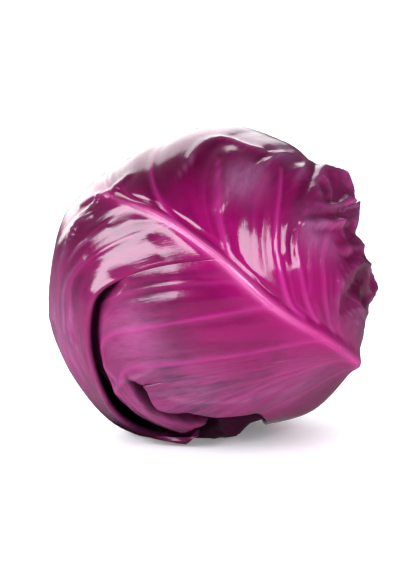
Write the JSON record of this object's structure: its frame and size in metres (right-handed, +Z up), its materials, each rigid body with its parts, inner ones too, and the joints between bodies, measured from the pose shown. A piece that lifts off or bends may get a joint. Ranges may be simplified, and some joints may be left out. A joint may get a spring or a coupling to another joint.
{
  "type": "red cabbage head",
  "caption": "Round red cabbage head lying on its side, with big ribbed and veined wrapper leaves over a tight heart and a cut stem.",
  "frame": {"origin": "centre of the flat rest spot, on the surface that the head lies on", "axes": "+Z up, -Y the front with the big ribbed leaf, +X to the right of the front; the cut stem points right, back and down"},
  "size_m": [0.1727, 0.1688, 0.1624],
  "materials": {
    "leaf_front": "waxy red cabbage leaf: deep magenta purple blade, bright pink ribs, semi-gloss",
    "leaf_back": "waxy red cabbage leaf, deep purple with pink ribs, semi-gloss",
    "leaf_under": "shaded red cabbage leaf, dark wine purple, semi-gloss",
    "heart": "packed inner cabbage leaves, dull purple",
    "stem_stump": "freshly cut cabbage stem, pale cream, matte, with a ring of bundles"
  },
  "bodies": {
    "root": {"leaf_front": "leaf_front", "leaf_back": "leaf_back", "leaf_under": "leaf_under", "heart": "heart", "stem_stump": "stem_stump"}
  },
  "joints": []
}
